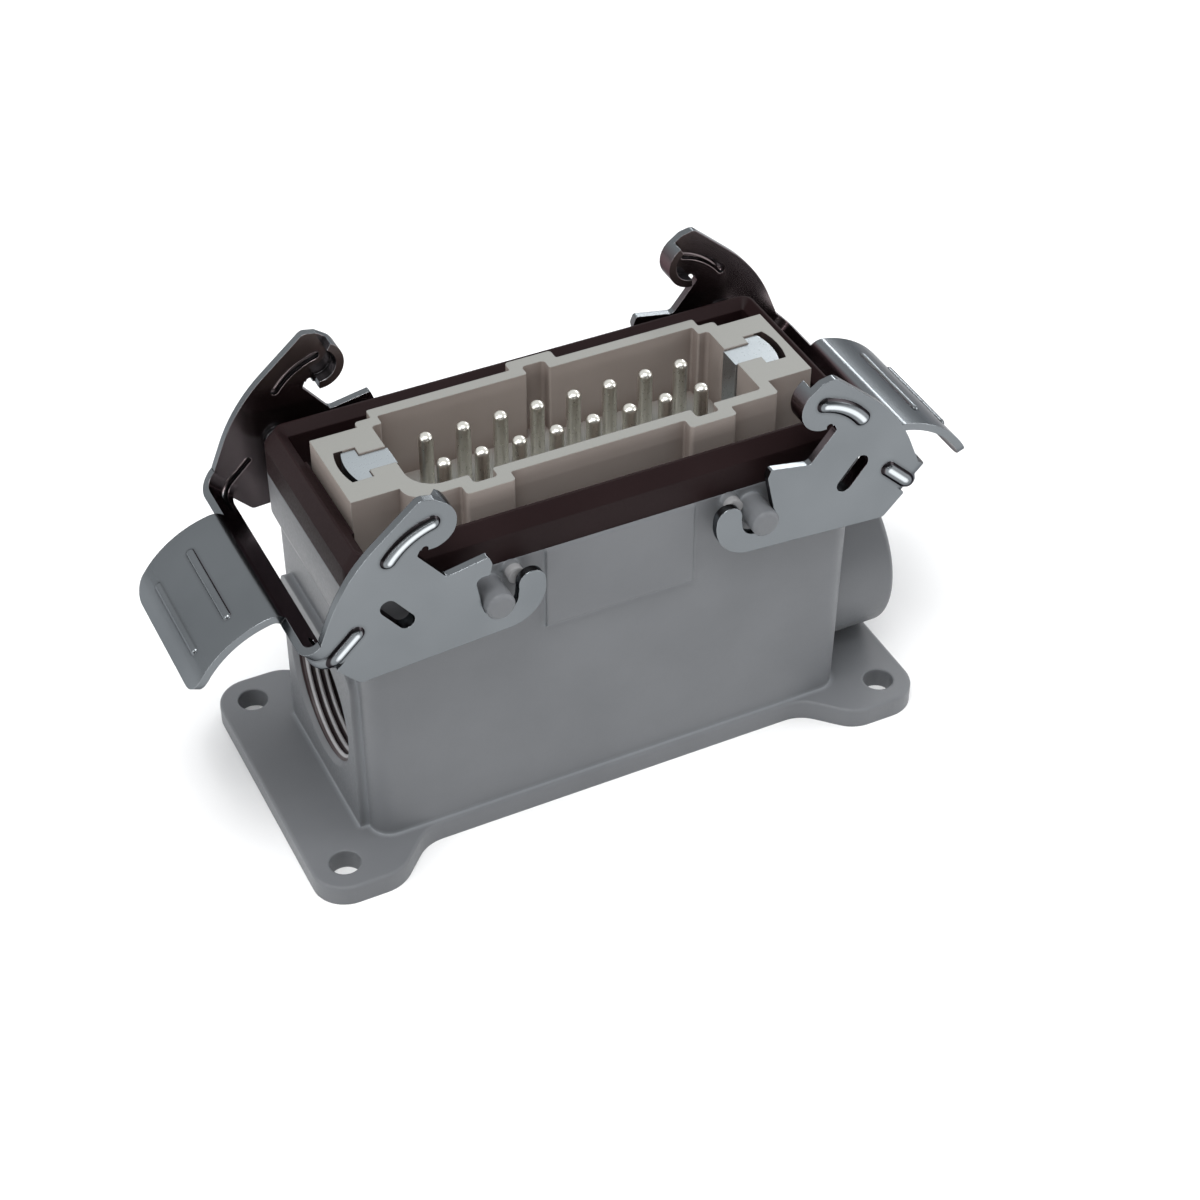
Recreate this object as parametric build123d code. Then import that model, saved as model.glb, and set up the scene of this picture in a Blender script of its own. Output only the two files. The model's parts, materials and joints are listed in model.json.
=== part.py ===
from build123d import *
import os
from math import cos, radians, sin

# The origin is at the middle of the flange's underside.
# X runs along the connector, Z points up, and the mating side is at the top.

# Mounting flange
HOLE_SPACING_X = 105.0
HOLE_SPACING_Y = 45.0
HOLE_D = 5.5
LUG_R = 6.0
LUG_LENGTH = 14.1
FLANGE_T = 4.0
WAIST_WIDTH = 42.0
WAIST_FILLET = 7.0
EDGE_ROUND = 0.5

# Contact insert, with heights above the seat that it is screwed down on
SEAT_Z = 49.0
INSERT_LENGTH = 84.0
INSERT_WIDTH = 33.6
INSERT_FLANGE_T = 3.0
INSERT_CORNER = 2.0
SHROUD_HEIGHT = 19.5
SHROUD_FROM_END = 8.5
SHROUD_FROM_SIDE = 4.1
SHROUD_WALL = 2.2
SHROUD_CORNER = 3.4
SHROUD_INNER_CORNER = 5.0
SHROUD_EDGE_R = 0.7
SHROUD_ROOT_R = 0.4
SHROUD_FLOOR = 6.0
JOG_LENGTH = 3.0
JOG_DEPTH = 2.2
KEY_REACH = 2.3
KEY_WIDTH = 8.6
KEY_FROM_END = 13.4
END_BLOCK_SET_IN = 0.15
END_BLOCK_HEAD_GAP = 1.1
TERMINAL_BODY_WIDTH = 25.0
TERMINAL_BODY_DEPTH = 19.0

# Pin contacts
PIN_COUNT = 8
PIN_PITCH = 6.75
ROW_SPACING = 7.6
PIN_D = 2.5
PIN_BELOW_RIM = 1.0
PIN_FIT = 0.05
TERMINAL_WIDTH = 4.6
TERMINAL_LENGTH = 7.6
TERMINAL_HEIGHT = 11.0
TERMINAL_TOP = 3.0
TERMINAL_INNER = 1.6
WIRE_HOLE_D = 3.2
WIRE_HOLE_DEPTH = 6.0
CHAMBER_GAP = 0.2

# Screws
TERMINAL_SCREW_D = 3.0
TERMINAL_HEAD_D = 3.8
TERMINAL_HEAD_T = 1.6
FIXING_SCREW_D = 4.0
FIXING_HEAD_D = 6.8
FIXING_HEAD_T = 2.6
FIXING_SCREW_REACH = 9.0
FIXING_FROM_END = 3.25
FIXING_FROM_SIDE = 3.3
WASHER_T = 0.8
WASHER_D = 6.6
SCREW_GAP = 0.15
SLOT_W = 0.8
SLOT_DEPTH = 0.9

# Earth contacts
EARTH_FROM_END = 4.8
EARTH_HEAD_LENGTH = 2.4
EARTH_HEAD_WIDTH = 8.2
EARTH_BOW = 0.7
EARTH_TAB_LENGTH = 5.0
EARTH_TAB_WIDTH = 4.4
EARTH_BELOW_RIM = 0.3
EARTH_SLOT_GAP = 0.15
EARTH_RELIEF = 1.2
EARTH_BLOCK_LENGTH = 8.0
EARTH_BLOCK_WIDTH = 9.0
EARTH_BLOCK_HEIGHT = 10.0
EARTH_BLOCK_GAP = 2.2

# Housing body
INSERT_CLEARANCE = 0.4
SIDE_WALL = 3.6
END_WALL = 4.5
RIM_ABOVE_SEAT = 8.7
SIDE_SLOPE = 0.8
END_SLOPE = 0.2
FLARE = 1.3
FLARE_START = 12.2
FLARE_RISE = 4.0
BODY_CORNER = 3.8
FLOOR_T = 4.0
POST_R = 4.4
POST_LENGTH = 12.5
PAD_WIDTH = 27.2
PAD_HEIGHT = 16.7
PAD_PROUD = 0.5

# Cable entries in the end walls, the left one as high as fits under the earth terminal
ENTRY_R = 12.4
ENTRY_CHAMFER = 0.8
LEFT_PAD_WIDTH = 32.0
LEFT_PAD_HEIGHT = 38.0
LEFT_PAD_PROUD = 0.1
LEFT_PAD_CORNER = 3.0
LEFT_BOSS_WALL = 1.2
LEFT_BOSS_DEPTH = 5.0
LEFT_BOSS_CLEARANCE = 0.8
RIGHT_ENTRY_Z = 19.0
RIGHT_BOSS_WALL = 3.4
RIGHT_BOSS_PROUD = 11.8
RIGHT_BOSS_ROUND = 1.0

# Rim seal, measured from the rim
SEAL_HEIGHT = 8.1
SEAL_SKIRT = 5.3
SEAL_SLOPE = 1.9
SEAL_CREST = 0.4
SEAL_THICKNESS = 3.9
SEAL_INNER_DROP = 1.5
SEAL_TAB_WIDTH = 20.8
SEAL_TAB_DROP = 2.4
SEAL_TAB_GAP = 0.3
SEAL_INNER_R = 0.3
TONGUE_W = 1.2
TONGUE_DEPTH = 1.6
GROOVE_GAP = 0.15

# Pegs on the housing
PEG_FROM_END = 22.8
PEG_BELOW_RIM = 3.9
PEG_D = 5.0
PEG_FIT = 0.08
PEG_OVERHANG = 1.9
PEG_CHAMFER = 0.6
NIB_INWARD = 4.2
NIB_UP = 2.5
NIB_R = 1.5
NIB_GAP = 0.5

# Locking levers, stamped from one sheet and bent
SHEET = 1.4
BEND_R = 2.5
LEVER_SIDE_GAP = 3.1
LIP_WIDTH = 2.4
BEAD_R = 1.7
BEAD_PROUD = 0.8
DENT_SHARE = 0.6
CORNER_BEAD_AT = 7.6
CORNER_BEAD_UP = 8.5
CORNER_BEAD_ACROSS = 6.9
WINDOW_LENGTH = 7.6
WINDOW_WIDTH = 2.9
WINDOW_RIM = 0.9
WINDOW_ANGLE = 52.0
WEB_ANGLE = 46.0
WEB_LOWER = 5.6
WEB_UPPER = 11.4
RIDGE_R = 1.5
RIDGE_ANGLE = 57.0
HANDLE_WIDTH = 28.8
HANDLE_R = 19.0
HANDLE_ANGLE = 57.0
HANDLE_CORNER = 3.5
HANDLE_BEAD_R = 0.9
HANDLE_BEAD_PROUD = 0.45
HANDLE_BEAD_LENGTH = 17.5
HANDLE_BEAD_SHARES = (0.30, 0.72)

# Side view of a lever, as distances outwards and up from the peg
HOOK_AT = (-1.6, 0.8)
HOOK_R = 7.0
HOOK_TIP_ANGLE = 167.0
HOOK_TIP_R = 2.35
HOOK_PLAY = 1.1
RELIEF_CORNER = (3.75, 6.0)
RELIEF_R = 1.2
HEEL_AT = (25.0, -8.87)
HEEL_R = 1.2
BACK_CORNER = (25.5, 13.5)
BACK_R = 30.0
TOP_CORNER = (12.4, 24.8)
TOP_R = 1.5
HORN_CORNER = (10.0, 24.3)
NOSE_AT = (10.9, 19.4)
NOSE_R = 4.5
LIP_TOP_ANGLE = 122.0
LIP_END_ANGLE = 272.0
NOTCH_AT = (11.9, 15.2)
NOTCH_R = 0.6
THROAT_CORNER = (13.3, 14.2)
LEDGE_LOW = (8.6, 8.4)
LEDGE_END = (1.3, 9.75)
MOUTH_HIGH = (0.7, 8.2)
MOUTH_LOW = (2.1, 1.5)
CUT_R = 0.4
BLEND_R = 1.0
WINDOW_AT = (17.1, 3.8)
NOSE_BEAD = ((10.6, 20.0), (13.9, 18.7), (18.1, 15.0))
LEVER_REACH = 50.0

RIM_Z = SEAT_Z + RIM_ABOVE_SEAT
CAVITY_LENGTH = INSERT_LENGTH + 2 * INSERT_CLEARANCE
CAVITY_WIDTH = INSERT_WIDTH + 2 * INSERT_CLEARANCE
RIM_LENGTH = CAVITY_LENGTH + 2 * END_WALL
RIM_WIDTH = CAVITY_WIDTH + 2 * SIDE_WALL
FLARE_Z = RIM_Z - FLARE_START
SHROUD_TOP = SEAT_Z + SHROUD_HEIGHT
SHROUD_FLOOR_Z = SEAT_Z + SHROUD_FLOOR
FLANGE_TOP = SEAT_Z + INSERT_FLANGE_T
SHROUD_LENGTH = INSERT_LENGTH - 2 * SHROUD_FROM_END
SHROUD_WIDTH = INSERT_WIDTH - 2 * SHROUD_FROM_SIDE
JOG_X = SHROUD_LENGTH / 2 - JOG_LENGTH
KEY_X = SHROUD_LENGTH / 2 - KEY_FROM_END
END_BLOCK_LENGTH = INSERT_LENGTH - 2 * END_BLOCK_SET_IN
FIXING_X = INSERT_LENGTH - 2 * FIXING_FROM_END
FIXING_Y = INSERT_WIDTH - 2 * FIXING_FROM_SIDE
END_BLOCK_WIDTH = FIXING_Y - FIXING_HEAD_D - 2 * END_BLOCK_HEAD_GAP
EARTH_X = INSERT_LENGTH / 2 - EARTH_FROM_END
EARTH_LOW_Z = SEAT_Z - EARTH_BLOCK_HEIGHT
TERMINAL_BODY_LENGTH = 2 * (EARTH_X - EARTH_BLOCK_LENGTH / 2 - EARTH_BLOCK_GAP)
TERMINAL_TOP_Z = SEAT_Z - TERMINAL_TOP
TERMINAL_LOW_Z = TERMINAL_TOP_Z - TERMINAL_HEIGHT
LEFT_PAD_X = RIM_LENGTH / 2 + LEFT_PAD_PROUD
LEFT_BOSS_R = ENTRY_R + LEFT_BOSS_WALL
LEFT_ENTRY_Z = EARTH_LOW_Z - FIXING_HEAD_T - LEFT_BOSS_CLEARANCE - LEFT_BOSS_R
RIGHT_BOSS_R = ENTRY_R + RIGHT_BOSS_WALL
RIGHT_BOSS_X = RIM_LENGTH / 2 + RIGHT_BOSS_PROUD
PEG_X = RIM_LENGTH / 2 - PEG_FROM_END
PEG_Z = RIM_Z - PEG_BELOW_RIM
PLATE_INNER = RIM_WIDTH / 2 + LEVER_SIDE_GAP
PLATE_OUTER = PLATE_INNER + SHEET
BEND_OUTER = BEND_R + SHEET


def box_between(x, y, z):
    """A box from its low and high x, y and z."""
    size = [high - low for low, high in (x, y, z)]
    middle = [(low + high) / 2 for low, high in (x, y, z)]
    return Pos(*middle) * Box(*size)


def cylinder_up(radius, low, high, x=0.0, y=0.0):
    """An upright cylinder from one height to another."""
    return Pos(x, y, (low + high) / 2) * Cylinder(radius, high - low)


def filleted_face(corners):
    """A face from (x, y, fillet radius) corners."""
    path = FilletPolyline(*[(x, y) for x, y, _ in corners], radius=[r for _, _, r in corners], close=True)
    return make_face(path)


def rounded_frame(length, width, corner, z):
    return Pos(0, 0, z) * RectangleRounded(length, width, corner)


def body_section(z):
    """The housing's outline at one height, with its draft and the flare of its ends."""
    share = z / RIM_Z
    width = RIM_WIDTH - 2 * SIDE_SLOPE * (1 - share)
    length = RIM_LENGTH - 2 * END_SLOPE * (1 - share)
    if z <= FLARE_Z:
        length -= 2 * FLARE
    return rounded_frame(length, width, BODY_CORNER, z)


def flange():
    """The foot plate with a rounded lug at each corner."""
    x_end = HOLE_SPACING_X / 2 + LUG_R
    y_lug = HOLE_SPACING_Y / 2 + LUG_R
    y_waist = WAIST_WIDTH / 2
    x_lug = x_end - LUG_LENGTH
    x_waist = x_lug - (y_lug - y_waist)
    quarter = [(x_end, y_lug, LUG_R), (x_lug, y_lug, WAIST_FILLET), (x_waist, y_waist, WAIST_FILLET)]
    near = [(x, -y, r) for x, y, r in quarter]
    far_left = [(-x, y, r) for x, y, r in quarter]
    near_left = [(-x, -y, r) for x, y, r in quarter]
    corners = quarter + far_left[::-1] + near_left + near[::-1]
    plate = extrude(filleted_face(corners), FLANGE_T)
    plate = fillet(plate.edges().group_by(Axis.Z)[-1], EDGE_ROUND)
    holes = GridLocations(HOLE_SPACING_X, HOLE_SPACING_Y, 2, 2)
    return plate - holes * cylinder_up(HOLE_D / 2, 0, FLANGE_T)


def body_shell():
    """The body's outside, ruled through its sections."""
    heights = [0, FLARE_Z, FLARE_Z + FLARE_RISE, RIM_Z]
    return loft([body_section(z) for z in heights], ruled=True)


def front_pads():
    """The shallow raised pads below the rim on both long sides."""
    depth = RIM_WIDTH + 2 * PAD_PROUD
    pad = box_between(
        (-PAD_WIDTH / 2, PAD_WIDTH / 2), (-depth / 2, depth / 2), (RIM_Z - PAD_HEIGHT, RIM_Z)
    )
    return chamfer(pad.edges().filter_by(Axis.X), PAD_PROUD * 0.9)


def left_pad():
    """The flat raised pad round the left cable entry."""
    half = LEFT_PAD_WIDTH / 2
    corners = [(-half, 0, 0), (half, 0, 0)]
    corners += [(half, LEFT_PAD_HEIGHT, LEFT_PAD_CORNER), (-half, LEFT_PAD_HEIGHT, LEFT_PAD_CORNER)]
    end = Plane(origin=(-LEFT_PAD_X, 0, 0), x_dir=(0, 1, 0), z_dir=(1, 0, 0))
    return extrude(end * filleted_face(corners), END_WALL)


def along_x(radius, low, high, z):
    """A cylinder along X."""
    return Pos((low + high) / 2, 0, z) * Rot(0, 90, 0) * Cylinder(radius, high - low)


def entry_bore(x_face, x_inner, z):
    """A cable entry with a chamfered mouth, from an end face into the wiring space."""
    sense = 1 if x_face > 0 else -1
    x_mouth = x_face - sense * ENTRY_CHAMFER
    bore = along_x(ENTRY_R, min(x_inner, x_face), max(x_inner, x_face), z)
    mouth = Pos((x_mouth + x_face) / 2, 0, z) * Rot(0, 90 * sense, 0)
    return bore + mouth * Cone(ENTRY_R, ENTRY_R + ENTRY_CHAMFER, ENTRY_CHAMFER)


def right_boss():
    """The round boss that the right cable entry goes through."""
    boss = along_x(RIGHT_BOSS_R, 0, RIGHT_BOSS_X, RIGHT_ENTRY_Z)
    return fillet(boss.edges().sort_by(Axis.X)[-1], RIGHT_BOSS_ROUND)


def cavity():
    """The open space inside the body."""
    low = rounded_frame(CAVITY_LENGTH, CAVITY_WIDTH, INSERT_CORNER, FLOOR_T)
    return extrude(low, RIM_Z - FLOOR_T)


def screw_posts():
    """The corner lugs that the insert is screwed to, with their tapped holes."""
    places = GridLocations(FIXING_X, FIXING_Y, 2, 2)
    posts = places * cylinder_up(POST_R, SEAT_Z - POST_LENGTH, SEAT_Z)
    bores = places * cylinder_up(
        FIXING_SCREW_D / 2 + SCREW_GAP, SEAT_Z - FIXING_SCREW_REACH - WASHER_T, SEAT_Z
    )
    return posts, bores


def lever_pegs():
    """The four pegs that the levers turn on, with a small nib beside each."""
    pegs = []
    reach = PLATE_OUTER + PEG_OVERHANG
    wall = CAVITY_WIDTH / 2 + SIDE_WALL / 2
    nib_reach = PLATE_INNER - NIB_GAP
    for side_x in (-1, 1):
        for side_y in (-1, 1):
            facing = Plane(origin=(0, side_y * wall, 0), x_dir=(1, 0, 0), z_dir=(0, side_y, 0))
            peg = extrude(facing * Circle(PEG_D / 2), reach - wall)
            peg = chamfer(peg.faces().sort_by(Axis.Y)[-1 if side_y > 0 else 0].edges(), PEG_CHAMFER)
            nib = extrude(facing * Circle(NIB_R), nib_reach - wall)
            pegs.append(Pos(side_x * PEG_X, 0, PEG_Z) * peg)
            pegs.append(Pos(side_x * (PEG_X - NIB_INWARD), 0, PEG_Z + NIB_UP) * nib)
    return pegs


def seal_groove(gap, depth):
    """The ring in the middle of the rim that the seal's tongue sits in."""
    length = (RIM_LENGTH + CAVITY_LENGTH) / 2
    width = (RIM_WIDTH + CAVITY_WIDTH) / 2
    corner = (BODY_CORNER + INSERT_CORNER) / 2
    half = TONGUE_W / 2 + gap
    outer = rounded_frame(length + 2 * half, width + 2 * half, corner + half, RIM_Z - depth)
    inner = rounded_frame(length - 2 * half, width - 2 * half, corner - half, RIM_Z - depth)
    return extrude(outer - inner, depth)


def housing():
    body = body_shell() + front_pads() + flange() + left_pad() + right_boss()
    body -= cavity()
    posts, bores = screw_posts()
    body += posts
    body -= bores
    x_wall = CAVITY_LENGTH / 2
    x_boss = LEFT_BOSS_DEPTH - x_wall
    body += along_x(LEFT_BOSS_R, -x_wall, x_boss, LEFT_ENTRY_Z)
    body -= entry_bore(-LEFT_PAD_X, x_boss, LEFT_ENTRY_Z)
    body -= entry_bore(RIGHT_BOSS_X, x_wall, RIGHT_ENTRY_Z)
    for peg in lever_pegs():
        body += peg
    body -= seal_groove(GROOVE_GAP, TONGUE_DEPTH + 2 * GROOVE_GAP)
    return body - extrude(seal_frame(0, RIM_Z), NIB_R)


def seal_frame(inset, z, corner=BODY_CORNER):
    """A seal outline at one height, set in from the seal's outer edge."""
    length = RIM_LENGTH - 2 * inset
    width = RIM_WIDTH - 2 * inset
    return rounded_frame(length, width, max(corner - inset, SEAL_INNER_R), z)


def rim_seal():
    """The rubber frame: a straight skirt, a sloping top and a crest, with a lip at each end."""
    crest_z = RIM_Z + SEAL_HEIGHT
    skirt_z = RIM_Z + SEAL_SKIRT
    drop_z = crest_z - SEAL_INNER_DROP
    crest_inner = SEAL_SLOPE + SEAL_CREST
    outer = [seal_frame(0, RIM_Z), seal_frame(0, skirt_z), seal_frame(SEAL_SLOPE, crest_z)]
    frame = loft(outer, ruled=True)
    inside = [seal_frame(crest_inner, crest_z), seal_frame(SEAL_THICKNESS, drop_z)]
    frame -= loft(inside, ruled=True)
    frame -= extrude(seal_frame(SEAL_THICKNESS, RIM_Z), drop_z - RIM_Z)
    tab_high = crest_z - SEAL_TAB_DROP
    tab_low = RIM_Z + SEAL_TAB_GAP
    x_inner = END_BLOCK_LENGTH / 2 + SEAL_TAB_GAP
    x_outer = RIM_LENGTH / 2 - SEAL_THICKNESS / 2
    half = SEAL_TAB_WIDTH / 2
    for low, high in ((-x_outer, -x_inner), (x_inner, x_outer)):
        frame += box_between((low, high), (-half, half), (tab_low, tab_high))
    return frame + seal_groove(0, TONGUE_DEPTH)


def shroud_outline(offset, near_left_corner):
    """The shroud's outline: a long box with three keys, two jogs and one rounded corner."""
    half_x = SHROUD_LENGTH / 2 - offset
    half_y = SHROUD_WIDTH / 2 - offset
    jog_x = JOG_X - offset / 2
    jog_y = half_y - JOG_DEPTH
    key = KEY_WIDTH / 2 - offset
    out = half_y + KEY_REACH
    corners = [(-half_x, -half_y, near_left_corner)]
    for key_x in (-KEY_X, KEY_X):
        corners += [(key_x - key, -half_y, SHROUD_ROOT_R), (key_x - key, -out, SHROUD_EDGE_R)]
        corners += [(key_x + key, -out, SHROUD_EDGE_R), (key_x + key, -half_y, SHROUD_ROOT_R)]
    corners += [(half_x, -half_y, SHROUD_EDGE_R), (half_x, jog_y, SHROUD_EDGE_R)]
    corners += [(jog_x, jog_y, SHROUD_ROOT_R), (jog_x, half_y, SHROUD_ROOT_R)]
    corners += [(key, half_y, SHROUD_ROOT_R), (key, out, SHROUD_EDGE_R)]
    corners += [(-key, out, SHROUD_EDGE_R), (-key, half_y, SHROUD_ROOT_R)]
    corners += [(-jog_x, half_y, SHROUD_ROOT_R), (-jog_x, jog_y, SHROUD_ROOT_R)]
    return filleted_face(corners + [(-half_x, jog_y, SHROUD_EDGE_R)])


def bowed_bar(x_low, x_high, half_width):
    """A bar's section with its outboard edge bowed outwards."""
    arc = ThreePointArc((x_high, half_width), (x_high + EARTH_BOW, 0), (x_high, -half_width))
    sides = Polyline((x_high, -half_width), (x_low, -half_width), (x_low, half_width), (x_high, half_width))
    return make_face(sides + arc)


def on_side(sense, sketch):
    """A sketch drawn for the right end, turned round for the left end."""
    return Rot(0, 0, 0 if sense > 0 else 180) * sketch


def earth_profile(sense, gap):
    """The T-shaped section of an earth contact, with its tab towards the middle."""
    half = EARTH_HEAD_LENGTH / 2
    head = bowed_bar(EARTH_X - half - gap, EARTH_X + half + gap, EARTH_HEAD_WIDTH / 2 + gap)
    tab_x = EARTH_X - (EARTH_TAB_LENGTH + EARTH_HEAD_LENGTH) / 2
    tab = Pos(tab_x, 0) * Rectangle(EARTH_TAB_LENGTH + 2 * gap, EARTH_TAB_WIDTH + 2 * gap)
    return on_side(sense, head + tab)


def earth_relief(sense):
    """The bowed slot beside the earth contact's head."""
    x_high = EARTH_X + EARTH_HEAD_LENGTH / 2 + EARTH_RELIEF
    return on_side(sense, bowed_bar(EARTH_X, x_high, EARTH_HEAD_WIDTH / 2 + EARTH_SLOT_GAP))


def pin_places():
    """The x and y of every contact, near row first."""
    places = []
    for row in (-1, 1):
        for index in range(PIN_COUNT):
            places.append(((index - (PIN_COUNT - 1) / 2) * PIN_PITCH, row * ROW_SPACING / 2, row))
    return places


def terminal_chamber(x, row):
    """The open chamber that a terminal sits in, with the access hole for its screw."""
    half = TERMINAL_WIDTH / 2 + CHAMBER_GAP
    inner = TERMINAL_INNER - CHAMBER_GAP
    outer = TERMINAL_BODY_WIDTH / 2
    reach = sorted((row * inner, row * outer))
    low = TERMINAL_LOW_Z - CHAMBER_GAP
    chamber = box_between((x - half, x + half), reach, (low, TERMINAL_TOP_Z))
    screw_y = row * (TERMINAL_INNER + TERMINAL_LENGTH / 2)
    access = cylinder_up(TERMINAL_HEAD_D / 2 + SCREW_GAP, SEAT_Z - TERMINAL_BODY_DEPTH, low, x, screw_y)
    return chamber + access


def contact_insert():
    """One moulding: flange, shroud with end blocks, and the body with the terminal chambers."""
    flange_plate = extrude(rounded_frame(INSERT_LENGTH, INSERT_WIDTH, INSERT_CORNER, SEAT_Z), INSERT_FLANGE_T)
    shroud = extrude(Pos(0, 0, SEAT_Z) * shroud_outline(0, SHROUD_CORNER), SHROUD_HEIGHT)
    blocks = extrude(Pos(0, 0, SEAT_Z) * Rectangle(END_BLOCK_LENGTH, END_BLOCK_WIDTH), SHROUD_HEIGHT)
    terminal_body = box_between(
        (-TERMINAL_BODY_LENGTH / 2, TERMINAL_BODY_LENGTH / 2),
        (-TERMINAL_BODY_WIDTH / 2, TERMINAL_BODY_WIDTH / 2),
        (SEAT_Z - TERMINAL_BODY_DEPTH, SEAT_Z),
    )
    body = flange_plate + shroud + blocks + terminal_body
    hollow = Pos(0, 0, SHROUD_FLOOR_Z) * shroud_outline(SHROUD_WALL, SHROUD_INNER_CORNER)
    body -= extrude(hollow, SHROUD_TOP - SHROUD_FLOOR_Z)
    for x, y, row in pin_places():
        body -= cylinder_up(PIN_D / 2 + PIN_FIT, TERMINAL_TOP_Z, SHROUD_FLOOR_Z, x, y)
        body -= terminal_chamber(x, row)
    for sense in (-1, 1):
        body -= extrude(Pos(0, 0, SEAT_Z) * earth_profile(sense, EARTH_SLOT_GAP), SHROUD_HEIGHT)
        body -= extrude(Pos(0, 0, SHROUD_FLOOR_Z) * earth_relief(sense), SHROUD_TOP - SHROUD_FLOOR_Z)
    screws = GridLocations(FIXING_X, FIXING_Y, 2, 2)
    return body - screws * cylinder_up(FIXING_SCREW_D / 2 + SCREW_GAP, SEAT_Z, FLANGE_TOP)


def pin_contact(x, y, row):
    """A turned pin with a domed tip and a square screw terminal."""
    radius = PIN_D / 2
    tip = SHROUD_TOP - PIN_BELOW_RIM
    pin = cylinder_up(radius, TERMINAL_TOP_Z, tip, x, y)
    pin = fillet(pin.edges().sort_by(Axis.Z)[-1], radius * 0.8)
    half = TERMINAL_WIDTH / 2
    reach = sorted((row * TERMINAL_INNER, row * (TERMINAL_INNER + TERMINAL_LENGTH)))
    terminal = box_between((x - half, x + half), reach, (TERMINAL_LOW_Z, TERMINAL_TOP_Z))
    wire_z = (TERMINAL_LOW_Z + TERMINAL_TOP_Z) / 2
    outer = row * (TERMINAL_INNER + TERMINAL_LENGTH)
    wire = Pos(x, outer - row * WIRE_HOLE_DEPTH / 2, wire_z) * Rot(90, 0, 0)
    terminal -= wire * Cylinder(WIRE_HOLE_D / 2, WIRE_HOLE_DEPTH)
    screw_y = row * (TERMINAL_INNER + TERMINAL_LENGTH / 2)
    terminal -= cylinder_up(TERMINAL_SCREW_D / 2 + SCREW_GAP, TERMINAL_LOW_Z, wire_z, x, screw_y)
    return pin + terminal


def headed_screw(diameter, head_d, head_t, reach, turn=1):
    """A slotted screw with its head's underside at the origin and its shank pointing down."""
    shank = cylinder_up(diameter / 2, -reach, 0)
    head = cylinder_up(head_d / 2, 0, head_t)
    slot = box_between((-head_d, head_d), (-SLOT_W / 2, SLOT_W / 2), (head_t - SLOT_DEPTH, head_t))
    screw = shank + head - slot
    return screw if turn > 0 else Rot(180, 0, 0) * screw


def terminal_screws():
    """One screw under each terminal, with its head downwards."""
    screws = []
    reach = TERMINAL_HEIGHT / 2 - WIRE_HOLE_D / 2
    for x, _, row in pin_places():
        y = row * (TERMINAL_INNER + TERMINAL_LENGTH / 2)
        screw = headed_screw(TERMINAL_SCREW_D, TERMINAL_HEAD_D, TERMINAL_HEAD_T, reach, -1)
        screws.append(Pos(x, y, TERMINAL_LOW_Z) * screw)
    return Compound(children=screws)


def earth_contact(sense):
    """The T-shaped earth bar with its screw terminal below the insert's flange."""
    bar = extrude(Pos(0, 0, SEAT_Z) * earth_profile(sense, 0), SHROUD_HEIGHT - EARTH_BELOW_RIM)
    half = EARTH_BLOCK_LENGTH / 2
    x = sense * EARTH_X
    block = box_between(
        (x - half, x + half), (-EARTH_BLOCK_WIDTH / 2, EARTH_BLOCK_WIDTH / 2), (EARTH_LOW_Z, SEAT_Z)
    )
    wire_z = (EARTH_LOW_Z + SEAT_Z) / 2
    block -= Pos(x, 0, wire_z) * Rot(90, 0, 0) * Cylinder(WIRE_HOLE_D / 2, EARTH_BLOCK_WIDTH)
    block -= cylinder_up(FIXING_SCREW_D / 2 + SCREW_GAP, EARTH_LOW_Z, wire_z, x, 0)
    return bar + block


def earth_screws():
    """The two earth terminal screws, heads downwards."""
    reach = EARTH_BLOCK_HEIGHT / 2 - WIRE_HOLE_D / 2
    screw = headed_screw(FIXING_SCREW_D, FIXING_HEAD_D, FIXING_HEAD_T, reach, -1)
    return Compound(children=[Pos(sense * EARTH_X, 0, EARTH_LOW_Z) * screw for sense in (-1, 1)])


def fixing_places():
    return [(x * FIXING_X / 2, y * FIXING_Y / 2) for x in (-1, 1) for y in (-1, 1)]


def fixing_screws():
    """The captive screws that hold the insert on the housing's posts."""
    screw = headed_screw(FIXING_SCREW_D, FIXING_HEAD_D, FIXING_HEAD_T, FIXING_SCREW_REACH)
    seat = FLANGE_TOP + WASHER_T
    return Compound(children=[Pos(x, y, seat) * screw for x, y in fixing_places()])


def lock_washers():
    ring = cylinder_up(WASHER_D / 2, 0, WASHER_T) - cylinder_up(FIXING_SCREW_D / 2 + SCREW_GAP, 0, WASHER_T)
    return Compound(children=[Pos(x, y, FLANGE_TOP) * ring for x, y in fixing_places()])


def web_point(along, inward):
    """A point on the lever's side view, from the heel along the web and in from its outer face."""
    angle = radians(WEB_ANGLE)
    x = HEEL_AT[0] + along * cos(angle) - inward * sin(angle)
    return (x, HEEL_AT[1] + along * sin(angle) + inward * cos(angle))


def nose_point(angle, radius):
    """A point round the nose's centre on the lever's side view."""
    x = NOSE_AT[0] + radius * cos(radians(angle))
    return (x, NOSE_AT[1] + radius * sin(radians(angle)))


def side_plane(y):
    """The lever's side view as a sketch plane facing the near side: x outward from the peg, y up."""
    return Plane(origin=(0, y, 0), x_dir=(1, 0, 0), z_dir=(0, -1, 0))


def web_plane(along):
    """A plane square to the web: x across the lever, y in from the web's outer face."""
    angle = radians(WEB_ANGLE)
    x, z = web_point(along, 0)
    return Plane(origin=(x, 0, z), x_dir=(0, 1, 0), z_dir=(cos(angle), 0, sin(angle)))


def hook_point(radius):
    """A point on the line from the hook's centre through its rounded tip."""
    angle = radians(HOOK_TIP_ANGLE)
    return (HOOK_AT[0] + radius * cos(angle), HOOK_AT[1] + radius * sin(angle))


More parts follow.
